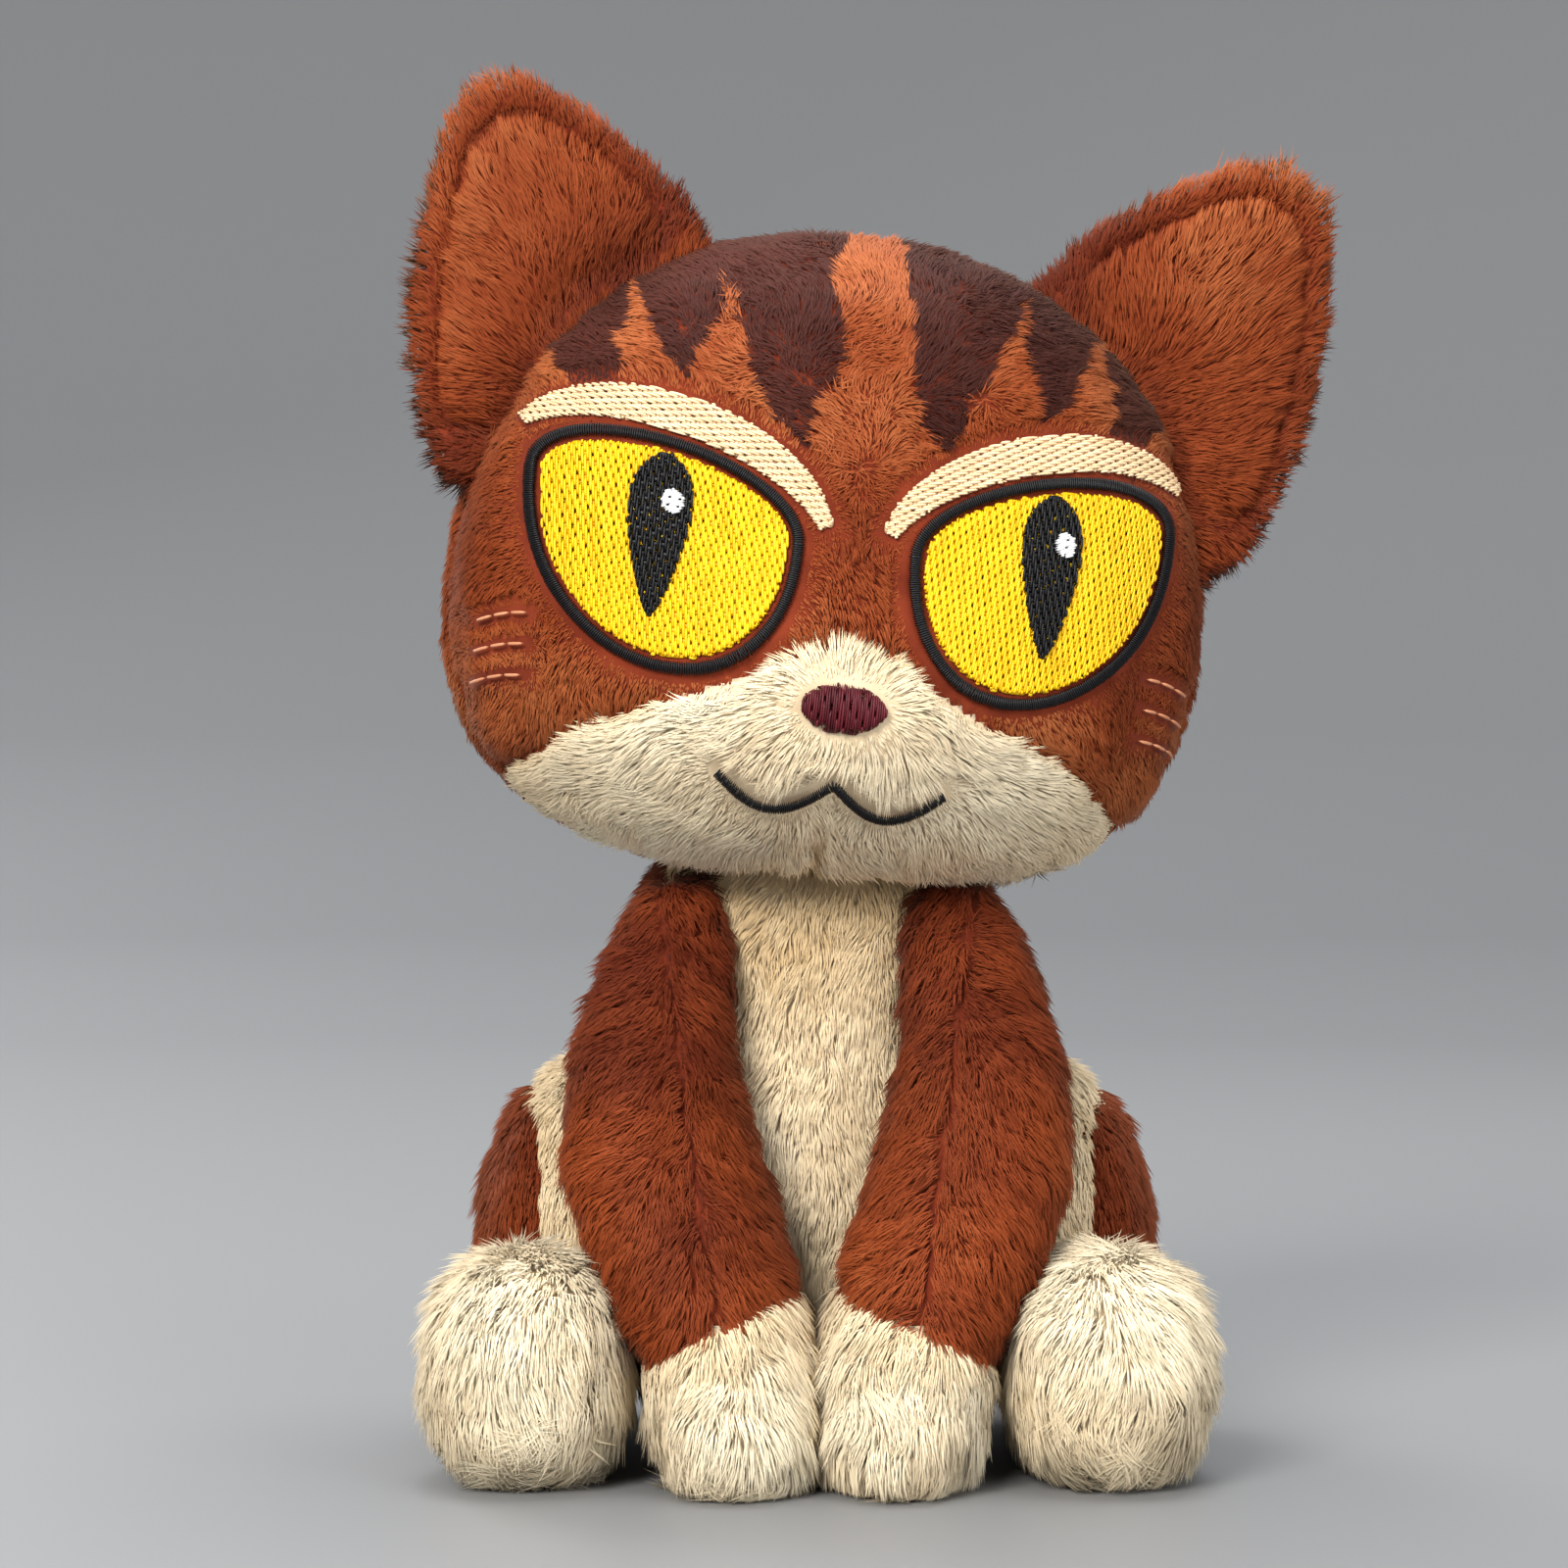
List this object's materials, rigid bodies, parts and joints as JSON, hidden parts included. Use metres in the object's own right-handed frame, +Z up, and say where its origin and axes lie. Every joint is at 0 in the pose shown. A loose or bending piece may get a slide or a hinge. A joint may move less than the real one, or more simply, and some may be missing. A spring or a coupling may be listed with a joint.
{
  "type": "plush cat",
  "caption": "Seated stuffed cat of short-pile fabric with embroidered eyes, nose, mouth and whiskers, upright ears, hanging front legs, splayed hind feet and a tail.",
  "frame": {"origin": "centre of the bounding box in plan, on the surface the cat sits on", "axes": "+Z up, the cat faces -Y, +X is the cat's left"},
  "size_m": [0.1507, 0.1934, 0.2262],
  "materials": {
    "rust_pile": "matte",
    "dark_pile": "matte",
    "cream_pile": "matte",
    "yellow_thread": "satin",
    "black_thread": "satin",
    "white_thread": "satin",
    "maroon_thread": "satin",
    "tan_thread": "satin",
    "cream_thread": "satin",
    "filling": "matte",
    "bead_cloth": "matte"
  },
  "bodies": {
    "torso": {"chest_panel": "cream_pile", "back_panel_left": "rust_pile", "back_panel_right": "rust_pile", "seat_panel": "rust_pile", "torso_filling": "filling", "bead_bag": "bead_cloth"},
    "neck": {"neck_filling": "filling"},
    "head": {"face_panel": "rust_pile", "muzzle_panel": "cream_pile", "head_back_left": "rust_pile", "head_back_right": "rust_pile", "head_filling": "filling", "nose": "maroon_thread", "mouth": "black_thread", "eye_left_patch": "cream_thread", "eye_left_iris": "yellow_thread", "eye_left_outline": "black_thread", "eye_left_pupil": "black_thread", "eye_left_glint": "white_thread", "whisker_left_1": "tan_thread", "whisker_left_2": "tan_thread", "whisker_left_3": "tan_thread", "eye_right_patch": "cream_thread", "eye_right_iris": "yellow_thread", "eye_right_outline": "black_thread", "eye_right_pupil": "black_thread", "eye_right_glint": "white_thread", "whisker_right_1": "tan_thread", "whisker_right_2": "tan_thread", "whisker_right_3": "tan_thread"},
    "ear_left": {"ear_left_front": "rust_pile", "ear_left_back": "rust_pile"},
    "front_leg_left": {"front_leg_left_outer": "rust_pile", "front_leg_left_inner": "rust_pile", "front_paw_left": "cream_pile", "front_leg_left_filling": "filling"},
    "hind_leg_left": {"thigh_left_outer": "rust_pile", "thigh_left_inner": "cream_pile", "thigh_left_filling": "filling", "hind_foot_left": "cream_pile", "foot_left_filling": "filling"},
    "ear_right": {"ear_right_front": "rust_pile", "ear_right_back": "rust_pile"},
    "front_leg_right": {"front_leg_right_outer": "rust_pile", "front_leg_right_inner": "rust_pile", "front_paw_right": "cream_pile", "front_leg_right_filling": "filling"},
    "hind_leg_right": {"thigh_right_outer": "rust_pile", "thigh_right_inner": "cream_pile", "thigh_right_filling": "filling", "hind_foot_right": "cream_pile", "foot_right_filling": "filling"},
    "tail": {"tail_cover": "rust_pile", "tail_tip": "dark_pile", "tail_filling": "filling"}
  },
  "joints": [
    {"name": "neck_tilt", "type": "hinge", "parent": "torso", "child": "neck", "pos_m": [-0.00843, -0.02725, 0.076], "axis": [0, 1, 0], "range_deg": [-14, 4], "stiffness_Nm_per_rad": 0.8},
    {"name": "head_turn", "type": "hinge", "parent": "neck", "child": "head", "pos_m": [-0.00843, -0.02725, 0.076], "axis": [0.1045, 0, 0.9945], "range_deg": [-25, 20], "stiffness_Nm_per_rad": 0.3},
    {"name": "ear_left_fold", "type": "hinge", "parent": "head", "child": "ear_left", "pos_m": [-0.04739, -0.04778, 0.17854], "axis": [-0.6484, -0.0445, -0.76], "range_deg": [-20, 20], "stiffness_Nm_per_rad": 0.03},
    {"name": "ear_right_fold", "type": "hinge", "parent": "head", "child": "ear_right", "pos_m": [0.04428, -0.04055, 0.17092], "axis": [-0.4179, -0.0402, 0.9076], "range_deg": [-20, 20], "stiffness_Nm_per_rad": 0.03},
    {"name": "shoulder_left", "type": "hinge", "parent": "torso", "child": "front_leg_left", "pos_m": [-0.03413, -0.05025, 0.0875], "axis": [-1, 0, 0], "range_deg": [0, 40], "stiffness_Nm_per_rad": 0.06},
    {"name": "shoulder_right", "type": "hinge", "parent": "torso", "child": "front_leg_right", "pos_m": [0.01727, -0.05025, 0.0875], "axis": [-1, 0, 0], "range_deg": [0, 40], "stiffness_Nm_per_rad": 0.06},
    {"name": "hip_left", "type": "hinge", "parent": "torso", "child": "hind_leg_left", "pos_m": [-0.04173, -0.01325, 0.028], "axis": [0, 0, -1], "range_deg": [0, 25], "stiffness_Nm_per_rad": 0.08},
    {"name": "hip_right", "type": "hinge", "parent": "torso", "child": "hind_leg_right", "pos_m": [0.02487, -0.01325, 0.028], "axis": [0, 0, 1], "range_deg": [0, 25], "stiffness_Nm_per_rad": 0.08},
    {"name": "tail_wag", "type": "hinge", "parent": "torso", "child": "tail", "pos_m": [-0.00843, 0.01875, 0.017], "axis": [0, 0, 1], "range_deg": [-25, 25], "stiffness_Nm_per_rad": 0.05}
  ]
}
